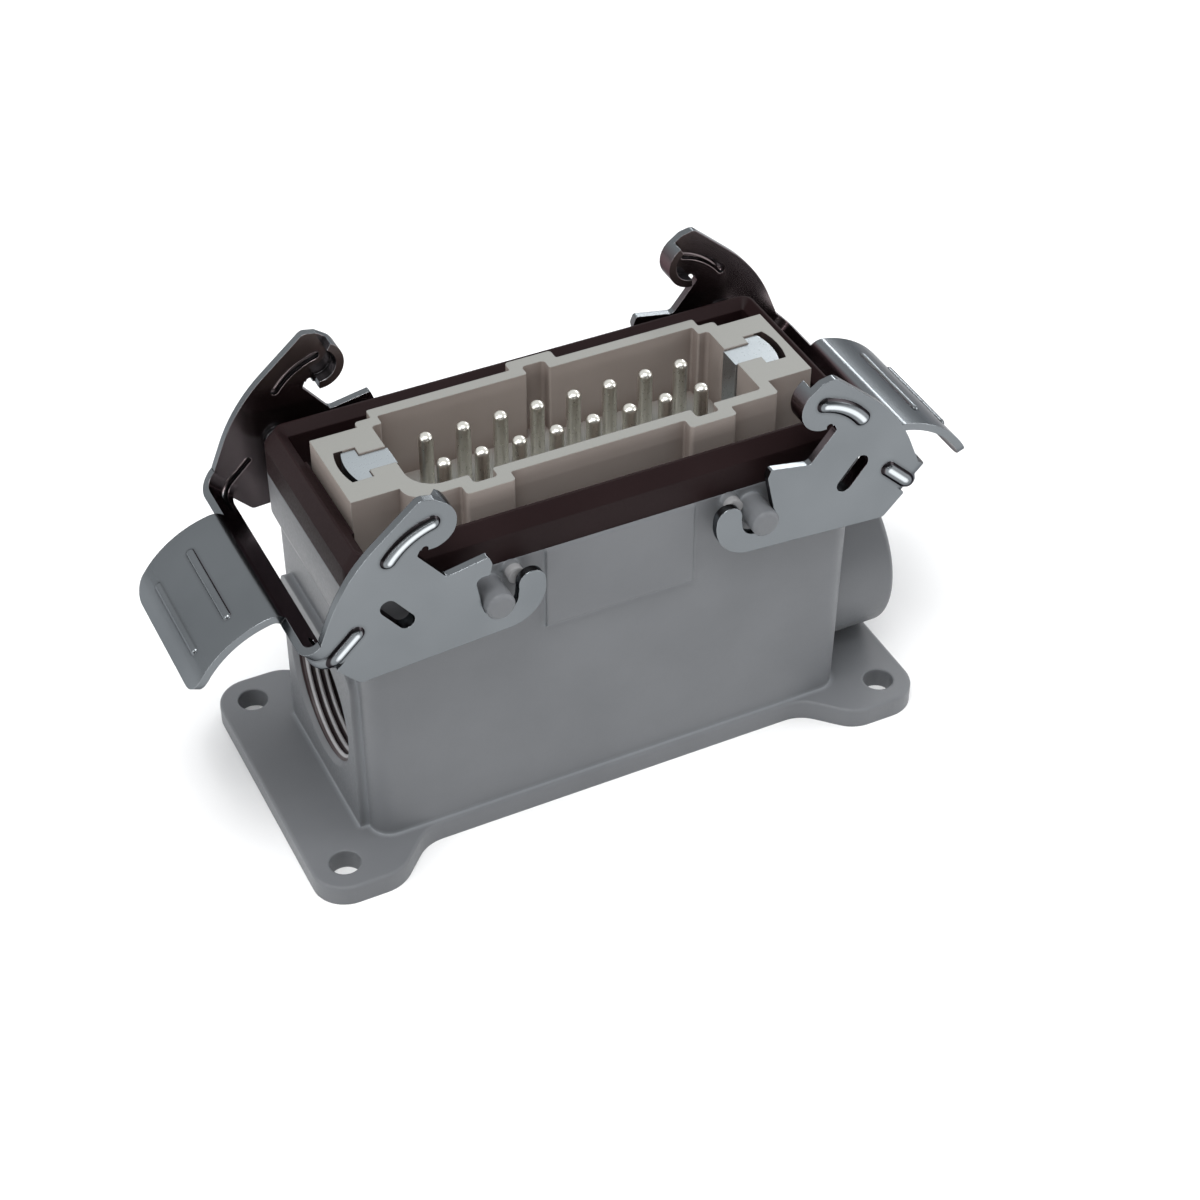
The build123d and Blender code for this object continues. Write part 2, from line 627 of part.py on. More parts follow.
def hook():
    """The disc round the peg, cut open at the top and towards the middle, with a rounded tip."""
    bearing = PEG_D / 2 + PEG_FIT
    open_top = HOOK_AT[1] + HOOK_R
    mouth = [hook_point(2 * HOOK_R), hook_point(HOOK_R - 2 * HOOK_TIP_R), (-bearing - HOOK_PLAY, 0)]
    mouth += [(bearing, 0), (bearing, open_top), (-2 * HOOK_R, open_top)]
    disc = Pos(*HOOK_AT) * Circle(HOOK_R) - make_face(Polyline(*mouth, close=True))
    return disc + Pos(*hook_point(HOOK_R - HOOK_TIP_R)) * Circle(HOOK_TIP_R)


def plate_outline():
    """One side plate: hook round the peg, heel, sloping back, nose, throat and ledge."""
    arm = [(HOOK_AT[0], HOOK_AT[1] - HOOK_R, 0), (*web_point(0, SHEET), HEEL_R)]
    arm += [(*web_point(WEB_LOWER, SHEET), CUT_R), (*web_point(WEB_LOWER, BEND_OUTER), CUT_R)]
    arm += [(*web_point(WEB_UPPER, BEND_OUTER), CUT_R), (*BACK_CORNER, BACK_R)]
    arm += [(*TOP_CORNER, TOP_R), (*HORN_CORNER, CUT_R), (*nose_point(LIP_TOP_ANGLE, NOSE_R), 0)]
    arm += [(*NOSE_AT, 0), (*THROAT_CORNER, CUT_R), (*LEDGE_LOW, BLEND_R), (*LEDGE_END, CUT_R)]
    arm += [(*MOUTH_HIGH, BLEND_R), (*MOUTH_LOW, 0)]
    plate = filleted_face(arm) + hook() + Pos(*NOSE_AT) * Circle(NOSE_R)
    bearing = Circle(PEG_D / 2 + PEG_FIT)
    return plate - bearing - Pos(-HOOK_PLAY, 0) * bearing - Pos(*NOTCH_AT) * Circle(NOTCH_R)


def slot_relief():
    """The wider part of the far plate's slot, beside the peg."""
    bearing = PEG_D / 2 + PEG_FIT
    high = RELIEF_CORNER[1]
    return filleted_face([(0, 0, 0), (bearing, 0, 0), (*RELIEF_CORNER, RELIEF_R), (0, high, 0)])


def nose_lip():
    """The band round the nose's inner edge that is turned inwards."""
    middle = (LIP_TOP_ANGLE + LIP_END_ANGLE) / 2
    rays = [nose_point(angle, 2 * NOSE_R) for angle in (LIP_TOP_ANGLE, middle, LIP_END_ANGLE)]
    sector = make_face(Polyline(NOSE_AT, *rays, close=True))
    return (Pos(*NOSE_AT) * (Circle(NOSE_R) - Circle(NOSE_R - SHEET))) & sector


def bar_along(path, radius):
    """A round-ended bar along a path."""
    bar = sweep(Plane(origin=path @ 0, z_dir=path % 0) * Circle(radius), path=path)
    ends = [Pos(*(path @ share)) * Sphere(radius) for share in (0, 1)]
    return bar + ends[0] + ends[1]


def stamped(path):
    """A bead along a path: its raised bar and the smaller dent behind it."""
    return bar_along(path, BEAD_R), bar_along(path, BEAD_R - SHEET * DENT_SHARE)


def side_plate():
    """The near side plate with its nose lip, nose bead and window."""
    plate = extrude(side_plane(-PLATE_INNER) * plate_outline(), SHEET)
    plate += extrude(side_plane(LIP_WIDTH - PLATE_INNER) * nose_lip(), SHEET + LIP_WIDTH)
    depth = BEAD_R - BEAD_PROUD - PLATE_OUTER
    bulge, dent = stamped(ThreePointArc(*[(x, depth, z) for x, z in NOSE_BEAD]))
    behind = extrude(side_plane(-PLATE_INNER) * Circle(LEVER_REACH), -2 * BEAD_R)
    plate = plate + (bulge - behind) - dent
    place = Pos(*WINDOW_AT) * Rot(0, 0, WINDOW_ANGLE)
    rim = SlotOverall(WINDOW_LENGTH + 2 * WINDOW_RIM, WINDOW_WIDTH + 2 * WINDOW_RIM)
    plate += extrude(side_plane(WINDOW_RIM - PLATE_INNER) * (place * rim), WINDOW_RIM)
    opening = side_plane(WINDOW_RIM - PLATE_INNER) * (place * SlotOverall(WINDOW_LENGTH, WINDOW_WIDTH))
    return plate - extrude(opening, SHEET + WINDOW_RIM)


def bend_line(inset, height, radius):
    """A U across the lever at one depth in the sheet, as a closed outline."""
    half = PLATE_OUTER - inset
    corners = [(-half, height, 0), (-half, inset, radius), (half, inset, radius), (half, height, 0)]
    return filleted_face(corners)


def web_bend():
    """The web between the plates with its two bends, before the handle."""
    profile = bend_line(0, LEVER_REACH, BEND_OUTER) - bend_line(SHEET, LEVER_REACH, BEND_R)
    profile &= Pos(0, BEND_OUTER / 2) * Rectangle(2 * LEVER_REACH, BEND_OUTER)
    return extrude(web_plane(WEB_LOWER) * profile, WEB_UPPER - WEB_LOWER)


def corner_bead():
    """The bead that stiffens the near bend, running from the plate round into the web."""
    depth = BEAD_R - BEAD_PROUD
    side = depth - PLATE_OUTER
    corners = [(side, CORNER_BEAD_UP), (side, depth), (CORNER_BEAD_ACROSS - PLATE_OUTER, depth)]
    plane = web_plane(CORNER_BEAD_AT)
    path = plane * FilletPolyline(*corners, radius=BEND_OUTER - depth)
    bulge, dent = stamped(path)
    inside = web_plane(CORNER_BEAD_AT - 2 * BEAD_R) * bend_line(SHEET, LEVER_REACH, BEND_R)
    return bulge - extrude(inside, 4 * BEAD_R), dent


def handle_path(inward):
    """The side view of the ridge and the handle, at one depth in the sheet."""
    heading = (cos(radians(WEB_ANGLE)), sin(radians(WEB_ANGLE)))
    ridge = JernArc(start=web_point(WEB_UPPER, inward), tangent=heading,
                    radius=RIDGE_R + inward, arc_size=-RIDGE_ANGLE)
    grip = JernArc(start=ridge @ 1, tangent=ridge % 1,
                   radius=HANDLE_R - SHEET + inward, arc_size=-HANDLE_ANGLE)
    return ridge, grip


def handle():
    """The handle: it rises over the ridge and curves outwards and down."""
    low_ridge, low_grip = handle_path(0)
    top_ridge, top_grip = handle_path(SHEET)
    edges = [low_ridge, low_grip, top_ridge, top_grip]
    edges += [Line(low_ridge @ 0, top_ridge @ 0), Line(low_grip @ 1, top_grip @ 1)]
    strip = make_face(Wire([edge for part in edges for edge in part.edges()]))
    grip = extrude(side_plane(HANDLE_WIDTH / 2) * strip, HANDLE_WIDTH)
    ends = grip.edges().filter_by(GeomType.LINE).sort_by(Axis.Z)
    corners = [edge for edge in ends if abs(edge.length - SHEET) < SHEET / 100][:2]
    return fillet(corners, HANDLE_CORNER)


def handle_bead(share, inward, radius):
    """A round bar across the handle, at one share of its length and one depth in the sheet."""
    _, grip = handle_path(inward)
    at = grip @ share
    half = HANDLE_BEAD_LENGTH / 2
    return bar_along(Line((at.X, -half, at.Y), (at.X, half, at.Y)), radius)


def lever():
    """One stamped sheet: two side plates, the web between them and the handle."""
    plate = side_plate()
    far_plate = mirror(plate, Plane.XZ) - extrude(side_plane(PLATE_OUTER) * slot_relief(), SHEET)
    sheet = plate + far_plate + web_bend() + handle()
    bulge, dent = corner_bead()
    sheet = sheet + bulge + mirror(bulge, Plane.XZ) - dent - mirror(dent, Plane.XZ)
    for share in HANDLE_BEAD_SHARES:
        sheet += handle_bead(share, SHEET + HANDLE_BEAD_PROUD - HANDLE_BEAD_R, HANDLE_BEAD_R)
        sheet -= handle_bead(share, 0, HANDLE_BEAD_PROUD)
    return sheet


def place_lever(shape, side):
    turn = Rot(0, 0, 0) if side > 0 else Rot(0, 0, 180)
    return Pos(side * PEG_X, 0, PEG_Z) * turn * shape


def build():
    parts = {
        "housing": housing(),
        "rim_seal": rim_seal(),
        "contact_insert": contact_insert(),
        "terminal_screws": terminal_screws(),
        "earth_contact_left": earth_contact(-1),
        "earth_contact_right": earth_contact(1),
        "earth_screws": earth_screws(),
        "fixing_screws": fixing_screws(),
        "lock_washers": lock_washers(),
    }
    for number, (x, y, row) in enumerate(pin_places(), start=1):
        parts[f"pin_contact_{number:02d}"] = pin_contact(x, y, row)
    shape = lever()
    parts["lever_right"] = place_lever(shape, 1)
    parts["lever_left"] = place_lever(shape, -1)
    return parts


os.makedirs("parts", exist_ok=True)
for name, shape in build().items():
    export_step(shape, f"parts/{name}.step")
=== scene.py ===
import json
from math import cos, pi, radians, sin, tau

import bmesh
import bpy
from mathutils import Matrix, Vector


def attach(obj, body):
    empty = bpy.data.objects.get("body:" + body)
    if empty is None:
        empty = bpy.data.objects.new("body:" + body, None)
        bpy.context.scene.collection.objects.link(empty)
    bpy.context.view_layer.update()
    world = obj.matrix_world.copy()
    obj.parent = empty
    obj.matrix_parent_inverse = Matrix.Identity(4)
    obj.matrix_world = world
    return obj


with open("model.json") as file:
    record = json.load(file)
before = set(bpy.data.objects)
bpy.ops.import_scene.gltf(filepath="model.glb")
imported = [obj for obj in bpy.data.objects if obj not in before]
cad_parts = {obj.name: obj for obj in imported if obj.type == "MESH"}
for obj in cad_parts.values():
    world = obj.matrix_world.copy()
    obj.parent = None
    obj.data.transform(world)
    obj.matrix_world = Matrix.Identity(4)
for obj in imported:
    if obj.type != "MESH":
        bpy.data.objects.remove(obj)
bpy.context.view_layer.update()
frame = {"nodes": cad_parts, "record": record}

MM = 0.001

# Camera: the photograph's viewing angle, distance and field of view
VIEW_AZIMUTH = radians(-26.343)
VIEW_ELEVATION = radians(40.7286)
VIEW_ROLL = 0.0048855
VIEW_DISTANCE = 0.46217
VIEW_ACROSS = 0.006043
VIEW_UP = 0.019366
SENSOR_WIDTH = 36.0
LENS = 75.465
NEAR_CLIP = 0.01
FAR_CLIP = 20.0

# Studio dome: dim low down on the camera's side and bright above and behind
DOME_COLOUR = (0.97, 0.985, 1.0, 1.0)
DOME_WAY = (0.0, 0.9, 1.0)
DOME_RISE = (-0.3, 0.3)
DOME_LIGHT = (0.12, 0.83)
BACKDROP_LIGHT = 0.9
FLOOR_HALF = 3.0
FLOOR_COLOUR = (0.93, 0.93, 0.93, 1.0)
FLOOR_ROUGHNESS = 0.9

# Soft lamps: name, place, width and height, power
LAMPS_AIM = (0.0, 0.0, 0.04)
LAMPS = (
    ("overhead", (-0.15, -0.2, 0.8), (0.4, 0.4), 4.2),
    ("front_strip", (-0.12, -0.95, 0.17), (1.35, 0.05), 1.2),
    ("left_side", (-0.8, -0.1, 0.45), (0.3, 0.5), 1.7),
    ("right_side", (0.8, -0.35, 0.35), (0.4, 0.4), 2.2),
    ("right_back", (0.75, 0.64, 0.55), (0.5, 0.09), 2.2),
)

# Cable entry threads
THREAD_PITCH = 1.5 * MM
THREAD_MAJOR_R = 12.4 * MM
THREAD_DEPTH = 0.9 * MM
THREAD_SINK = 0.45 * MM
THREAD_ROOT_LIFT = 0.02 * MM
THREAD_HALF_SHARE = 0.498
THREAD_FOOT_SHARE = 0.36
THREAD_FLAT_SHARE = 0.1
THREAD_BRIGHT_SHARE = 0.6
THREAD_STEPS_PER_TURN = 72
LEFT_ENTRY_Z = 22.0 * MM
RIGHT_ENTRY_Z = 19.0 * MM
THREADS = (
    ("left_entry_thread", -46.0 * MM, -39.7 * MM, LEFT_ENTRY_Z),
    ("right_entry_thread", 57.6 * MM, 43.2 * MM, RIGHT_ENTRY_Z),
)

# Places where the colour changes: painted shade inside the housing, in the earth gaps and at the bead feet,
# painted highlights on the bead crests, the painted tone of the insert's tops, bare metal on the nibs, and
# the pins
INSIDE_X = 43.8 * MM
INSIDE_Y = 18.4 * MM
INSIDE_Z = 4.2 * MM
BORE_X = 46.1 * MM
BORE_R = 12.6 * MM
NIB_END = (19.9 * MM, 23.4 * MM, 56.3 * MM)
NIB_REACH = 2.0 * MM
EARTH_GAP_X = (38.0 * MM, 40.45 * MM)
EARTH_GAP_Y = 4.3 * MM
INSERT_TOP_Z = 68.45 * MM
UPWARD = (0.3, 0.9)
PINS_END_X = 30.5 * MM
BEAD_CREST_Y = 26.085 * MM
BEAD_FOOT_Y = (25.33 * MM, 25.72 * MM)

# Lever faces that look inward, which get a painted reflection, by their normal times their place in metres
PLATE_INSIDE = -0.015
PLATE_INSIDE_SOFT = 0.004
WEB_INSIDE = -0.03
WEB_INSIDE_SOFT = 0.01

# Shares of the noise that the tone and the roughness spread over
CLOUD_SPREAD = (0.35, 0.65)
GRAIN_SPREAD = (0.3, 0.7)
CLOUD_SCALE = 60.0
EDGE_GAIN = 3.0


def srgb(red, green, blue):
    """A linear colour from display values of 0 to 255."""
    values = [v / 255 for v in (red, green, blue)]
    linear = [v / 12.92 if v <= 0.04045 else ((v + 0.055) / 1.055) ** 2.4 for v in values]
    return (*linear, 1.0)


def link(tree, source, target):
    tree.links.new(source, target)


def add_node(tree, kind, place=(0, 0), **settings):
    """A node with its settings and any plain input values."""
    node = tree.nodes.new(kind)
    node.location = place
    inputs = settings.pop("inputs", {})
    for name, value in settings.items():
        setattr(node, name, value)
    for name, value in inputs.items():
        node.inputs[name].default_value = value
    return node


def new_group(name, inputs, outputs):
    """An empty shader group with named sockets: inputs are name to default, outputs name to kind."""
    group = bpy.data.node_groups.new(name, "ShaderNodeTree")
    for label, default in inputs.items():
        socket = group.interface.new_socket(label, in_out="INPUT", socket_type="NodeSocketFloat")
        socket.default_value = default
    for label, kind in outputs.items():
        group.interface.new_socket(label, in_out="OUTPUT", socket_type=kind)
    return group, add_node(group, "NodeGroupInput", (-900, 0)), add_node(group, "NodeGroupOutput", (900, 0))


def edge_group():
    """Softened edges: a rounded normal, and a mask that is white along edges."""
    group, ins, outs = new_group(
        "soft_edges",
        {"Radius": 0.3 * MM},
        {"Normal": "NodeSocketVector", "Edge": "NodeSocketFloat"},
    )
    bevel = add_node(group, "ShaderNodeBevel", (-600, 0), samples=6)
    plain = add_node(group, "ShaderNodeNewGeometry", (-600, -250))
    dot = add_node(group, "ShaderNodeVectorMath", (-350, -100), operation="DOT_PRODUCT")
    turned = add_node(group, "ShaderNodeMath", (-150, -100), operation="SUBTRACT", inputs={0: 1.0})
    gain = add_node(group, "ShaderNodeMath", (50, -100),
                    operation="MULTIPLY", use_clamp=True, inputs={1: EDGE_GAIN})
    link(group, ins.outputs["Radius"], bevel.inputs["Radius"])
    link(group, bevel.outputs["Normal"], dot.inputs[0])
    link(group, plain.outputs["Normal"], dot.inputs[1])
    link(group, dot.outputs["Value"], turned.inputs[1])
    link(group, turned.outputs[0], gain.inputs[0])
    link(group, bevel.outputs["Normal"], outs.inputs["Normal"])
    link(group, gain.outputs[0], outs.inputs["Edge"])
    return group


def crease_group():
    """A mask that is white in the open and black in narrow creases, where the looks paint shade and
    highlights.
    """
    group, ins, outs = new_group("creases", {"Reach": 1.0 * MM, "Depth": 1.5}, {"Open": "NodeSocketFloat"})
    shade = add_node(group, "ShaderNodeAmbientOcclusion", (-500, 0), samples=8, only_local=True)
    deeper = add_node(group, "ShaderNodeMath", (-200, 0), operation="POWER", use_clamp=True)
    link(group, ins.outputs["Reach"], shade.inputs["Distance"])
    link(group, shade.outputs["AO"], deeper.inputs[0])
    link(group, ins.outputs["Depth"], deeper.inputs[1])
    link(group, deeper.outputs[0], outs.inputs["Open"])
    return group


def grain_group():
    """Broad clouding and fine grain on the object's own coordinates."""
    group, ins, outs = new_group(
        "cloud_and_grain",
        {"Grain Scale": 2500.0},
        {"Cloud": "NodeSocketFloat", "Grain": "NodeSocketFloat"},
    )
    place = add_node(group, "ShaderNodeTexCoord", (-900, 300))
    cloud = add_node(group, "ShaderNodeTexNoise", (-250, 200),
                     inputs={"Scale": CLOUD_SCALE, "Detail": 3.0, "Roughness": 0.5})
    grain = add_node(group, "ShaderNodeTexNoise", (-250, -150), inputs={"Detail": 2.0, "Roughness": 0.6})
    link(group, place.outputs["Object"], cloud.inputs["Vector"])
    link(group, place.outputs["Object"], grain.inputs["Vector"])
    link(group, ins.outputs["Grain Scale"], grain.inputs["Scale"])
    link(group, cloud.outputs["Fac"], outs.inputs["Cloud"])
    link(group, grain.outputs["Fac"], outs.inputs["Grain"])
    return group


EDGES = edge_group()
CREASES = crease_group()
GRAIN = grain_group()


def mirrored_place(tree):
    """The object's own coordinates with x and y made positive."""
    place = add_node(tree, "ShaderNodeTexCoord", (-1500, 600))
    positive = add_node(tree, "ShaderNodeVectorMath", (-1300, 600), operation="ABSOLUTE")
    link(tree, place.outputs["Object"], positive.inputs[0])
    return positive.outputs[0]


def rising(tree, value, start, end):
    """Black up to a start value, white from an end value on."""
    step = add_node(tree, "ShaderNodeMapRange", (-900, 600), inputs={"From Min": start, "From Max": end})
    link(tree, value, step.inputs["Value"])
    return step.outputs[0]


def below(tree, value, limit, soft=0.1 * MM):
    """White where a value is under a limit."""
    return rising(tree, value, limit + soft, limit)


def past(tree, value, limit):
    """White where a value is over a limit, with a sharp edge."""
    step = add_node(tree, "ShaderNodeMath", (-900, 400), operation="GREATER_THAN", inputs={1: limit})
    link(tree, value, step.inputs[0])
    return step.outputs[0]


def product(tree, first, second):
    """White where both masks are."""
    both = add_node(tree, "ShaderNodeMath", (-700, 600), operation="MULTIPLY")
    link(tree, first, both.inputs[0])
    link(tree, second, both.inputs[1])
    return both.outputs[0]


def tinted(tree, colour, mask, tint):
    """A colour mixed with another one under a mask."""
    mix = add_node(tree, "ShaderNodeMix", (300, 450), data_type="RGBA")
    mix.inputs[7].default_value = tint
    link(tree, mask, mix.inputs["Factor"])
    link(tree, colour, mix.inputs[6])
    return mix.outputs[2]


def axes(tree, vector):
    """The X, Y and Z outputs of a vector."""
    parts = add_node(tree, "ShaderNodeSeparateXYZ", (-1100, 600))
    link(tree, vector, parts.inputs[0])
    return parts.outputs


def from_axis(tree, axis_z):
    """The distance from a cable entry's axis."""
    place = add_node(tree, "ShaderNodeTexCoord", (-1500, 900))
    across = add_node(tree, "ShaderNodeVectorMath", (-1300, 900), operation="MULTIPLY")
    across.inputs[1].default_value = (0.0, 1.0, 1.0)
    away = add_node(tree, "ShaderNodeVectorMath", (-1100, 900), operation="DISTANCE")
    away.inputs[1].default_value = (0.0, 0.0, axis_z)
    link(tree, place.outputs["Object"], across.inputs[0])
    link(tree, across.outputs[0], away.inputs[0])
    return away.outputs["Value"]


def housing_zones(tree, colour):
    """Painted shade on the housing's inside and in the left entry's bore, and light bare metal on the nibs
    beside the pegs.
    """
    place = mirrored_place(tree)
    at = axes(tree, place)
    # Painted shade inside the housing's walls and in the bore
    inside = product(tree, below(tree, at["X"], INSIDE_X), below(tree, at["Y"], INSIDE_Y))
    inside = product(tree, inside, past(tree, at["Z"], INSIDE_Z))
    colour = tinted(tree, colour, inside, INSIDE_SHADE_COLOUR)
    within_bore = below(tree, from_axis(tree, LEFT_ENTRY_Z), BORE_R)
    bore = product(tree, below(tree, at["X"], BORE_X), within_bore)
    colour = tinted(tree, colour, bore, INSIDE_SHADE_COLOUR)
    away = add_node(tree, "ShaderNodeVectorMath", (-1100, 900), operation="DISTANCE")
    away.inputs[1].default_value = NIB_END
    link(tree, place, away.inputs[0])
    return tinted(tree, colour, below(tree, away.outputs["Value"], NIB_REACH), NIB_COLOUR)


def thread_zones(axis_z):
    """Painted highlight: a lighter colour on the crests of a cable thread."""
    def zones(tree, colour):
        bright_r = THREAD_MAJOR_R - THREAD_BRIGHT_SHARE * THREAD_DEPTH
        crest = below(tree, from_axis(tree, axis_z), bright_r, 0.2 * MM)
        return tinted(tree, colour, crest, THREAD_CREST_HIGHLIGHT_COLOUR)
    return zones


def insert_zones(tree, colour):
    """A painted split by facing: faces that point up get a greyer, darker colour than the brownish walls,
    standing in for how light falls on tops and sides; and painted shade in the gap behind each earth
    contact.
    """
    faces = add_node(tree, "ShaderNodeNewGeometry", (-1300, 600))
    up = rising(tree, axes(tree, faces.outputs["Normal"])["Z"], *UPWARD)
    colour = tinted(tree, colour, up, UPWARD_FACE_PAINTED_TONE)
    at = axes(tree, mirrored_place(tree))
    near_x, far_x = EARTH_GAP_X
    along = product(tree, past(tree, at["X"], near_x), below(tree, at["X"], far_x, 0.02 * MM))
    across = product(tree, along, below(tree, at["Y"], EARTH_GAP_Y))
    # Painted shade in the gap behind each earth contact
    gap = product(tree, across, below(tree, at["Z"], INSERT_TOP_Z, 0.02 * MM))
    return tinted(tree, colour, gap, EARTH_GAP_SHADE_COLOUR)


def lever_zones(tree, colour):
    """Painted reflection of the brown seal on the inward faces of the plates and web, and on each plate's
    beads a painted highlight along the crest and painted shade along the foot.
    """
    faces = add_node(tree, "ShaderNodeNewGeometry", (-1300, 600))
    place = add_node(tree, "ShaderNodeTexCoord", (-1300, 400))
    facing = add_node(tree, "ShaderNodeVectorMath", (-1100, 600), operation="MULTIPLY")
    link(tree, faces.outputs["Normal"], facing.inputs[0])
    link(tree, place.outputs["Object"], facing.inputs[1])
    way = axes(tree, facing.outputs[0])
    # Painted reflection of the seal on the plates' and web's inward faces
    inner_plate = below(tree, way["Y"], PLATE_INSIDE, PLATE_INSIDE_SOFT)
    colour = tinted(tree, colour, inner_plate, PLATE_INSIDE_REFLECTION_COLOUR)
    inner_web = below(tree, way["X"], WEB_INSIDE, WEB_INSIDE_SOFT)
    colour = tinted(tree, colour, inner_web, WEB_INSIDE_REFLECTION_COLOUR)
    out = axes(tree, mirrored_place(tree))["Y"]
    # Painted shade along the foot of each bead
    foot = rising(tree, out, BEAD_FOOT_Y[0], BEAD_FOOT_Y[0] + 0.05 * MM)
    foot = product(tree, foot, below(tree, out, BEAD_FOOT_Y[1], 0.12 * MM))
    colour = tinted(tree, colour, foot, BEAD_FOOT_SHADE_COLOUR)
    # Painted highlight along the crest of each bead
    crest = rising(tree, out, BEAD_CREST_Y - 0.06 * MM, BEAD_CREST_Y)
    return tinted(tree, colour, crest, BEAD_CREST_HIGHLIGHT_COLOUR)


def pin_zones(tree, colour):
    """Brighter plating on the pins than on the earth contacts."""
    pins = below(tree, axes(tree, mirrored_place(tree))["X"], PINS_END_X)
    return tinted(tree, colour, pins, PIN_COLOUR)


def finish(name, look):
    """A procedural material from a dictionary of the look's values."""
    material = bpy.data.materials.new(name)
    material.use_nodes = True
    tree = material.node_tree
    tree.nodes.clear()
    out = add_node(tree, "ShaderNodeOutputMaterial", (900, 0))
    shader = add_node(tree, "ShaderNodeBsdfPrincipled", (600, 0))
    shader.inputs["Metallic"].default_value = look.get("metallic", 0.0)
    shader.inputs["IOR"].default_value = look.get("ior", 1.5)
    shader.inputs["Specular IOR Level"].default_value = look.get("specular", 0.5)
    shader.inputs["Specular Tint"].default_value = look.get("grazing", (1.0, 1.0, 1.0, 1.0))
    link(tree, shader.outputs[0], out.inputs["Surface"])
    grain = add_node(tree, "ShaderNodeGroup", (-700, 0), node_tree=GRAIN)
    grain.inputs["Grain Scale"].default_value = look["grain_scale"]
    edges = add_node(tree, "ShaderNodeGroup", (-700, -300), node_tree=EDGES)
    edges.inputs["Radius"].default_value = look["edge_radius"]
    tone = add_node(tree, "ShaderNodeMix", (-200, 250), data_type="RGBA")
    tone.inputs[6].default_value = look["dark"]
    tone.inputs[7].default_value = look["light"]
    link(tree, rising(tree, grain.outputs["Cloud"], *CLOUD_SPREAD), tone.inputs["Factor"])
    worn = add_node(tree, "ShaderNodeMix", (100, 250), data_type="RGBA")
    worn.inputs[7].default_value = look["edge_colour"]
    wear = add_node(tree, "ShaderNodeMath", (-200, -50), operation="MULTIPLY", use_clamp=True)
    wear.inputs[1].default_value = look["edge_wear"]
    link(tree, edges.outputs["Edge"], wear.inputs[0])
    link(tree, wear.outputs[0], worn.inputs["Factor"])
    link(tree, tone.outputs[2], worn.inputs[6])
    # Painted light in narrow creases: painted shade for most looks, and a painted highlight for the housing
    # paint, whose crease colour is lighter than its base
    creases = add_node(tree, "ShaderNodeGroup", (-450, 500), node_tree=CREASES)
    creases.inputs["Reach"].default_value = look.get("crease_reach", 0.8 * MM)
    creases.inputs["Depth"].default_value = look.get("crease_depth", 1.0)
    closed = add_node(tree, "ShaderNodeMix", (350, 250), data_type="RGBA")
    closed.inputs[6].default_value = look["crease_light_and_shade"]
    link(tree, creases.outputs["Open"], closed.inputs["Factor"])
    colour = worn.outputs[2]
    if "zones" in look:
        colour = look["zones"](tree, colour)
    link(tree, colour, closed.inputs[7])
    link(tree, closed.outputs[2], shader.inputs["Base Color"])
    rough = add_node(tree, "ShaderNodeMapRange", (100, -50))
    for label, value in zip(("From Min", "From Max", "To Min", "To Max"), GRAIN_SPREAD + look["roughness"]):
        rough.inputs[label].default_value = value
    link(tree, grain.outputs["Grain"], rough.inputs["Value"])
    link(tree, rough.outputs[0], shader.inputs["Roughness"])
    bump = add_node(tree, "ShaderNodeBump", (300, -300))
    bump.inputs["Strength"].default_value = look["bump_strength"]
    bump.inputs["Distance"].default_value = look["bump_depth"]
    link(tree, grain.outputs["Grain"], bump.inputs["Height"])
    link(tree, edges.outputs["Normal"], bump.inputs["Normal"])
    link(tree, bump.outputs[0], shader.inputs["Normal"])
    return material


# Painted shade for the housing's inside and the left entry's bore
INSIDE_SHADE_COLOUR = srgb(52, 38, 39)
NIB_COLOUR = srgb(140, 140, 141)
# Painted highlight on the thread crests
THREAD_CREST_HIGHLIGHT_COLOUR = srgb(172, 171, 173)
# Painted tone for the insert's faces that point up, set apart from its walls by how light falls
UPWARD_FACE_PAINTED_TONE = srgb(131, 131, 127)
# Painted shade in the gaps behind the earth contacts
EARTH_GAP_SHADE_COLOUR = srgb(30, 21, 22)
# Painted reflection of the brown seal on the lever plates' inward faces
PLATE_INSIDE_REFLECTION_COLOUR = srgb(130, 119, 120)
# Painted reflection, darker, on the lever web's inward faces
WEB_INSIDE_REFLECTION_COLOUR = srgb(90, 76, 78)
# Painted shade along the bead feet
BEAD_FOOT_SHADE_COLOUR = srgb(46, 43, 45)
# Painted highlight along the bead crests
BEAD_CREST_HIGHLIGHT_COLOUR = srgb(214, 219, 222)
PIN_COLOUR = srgb(226, 224, 216)
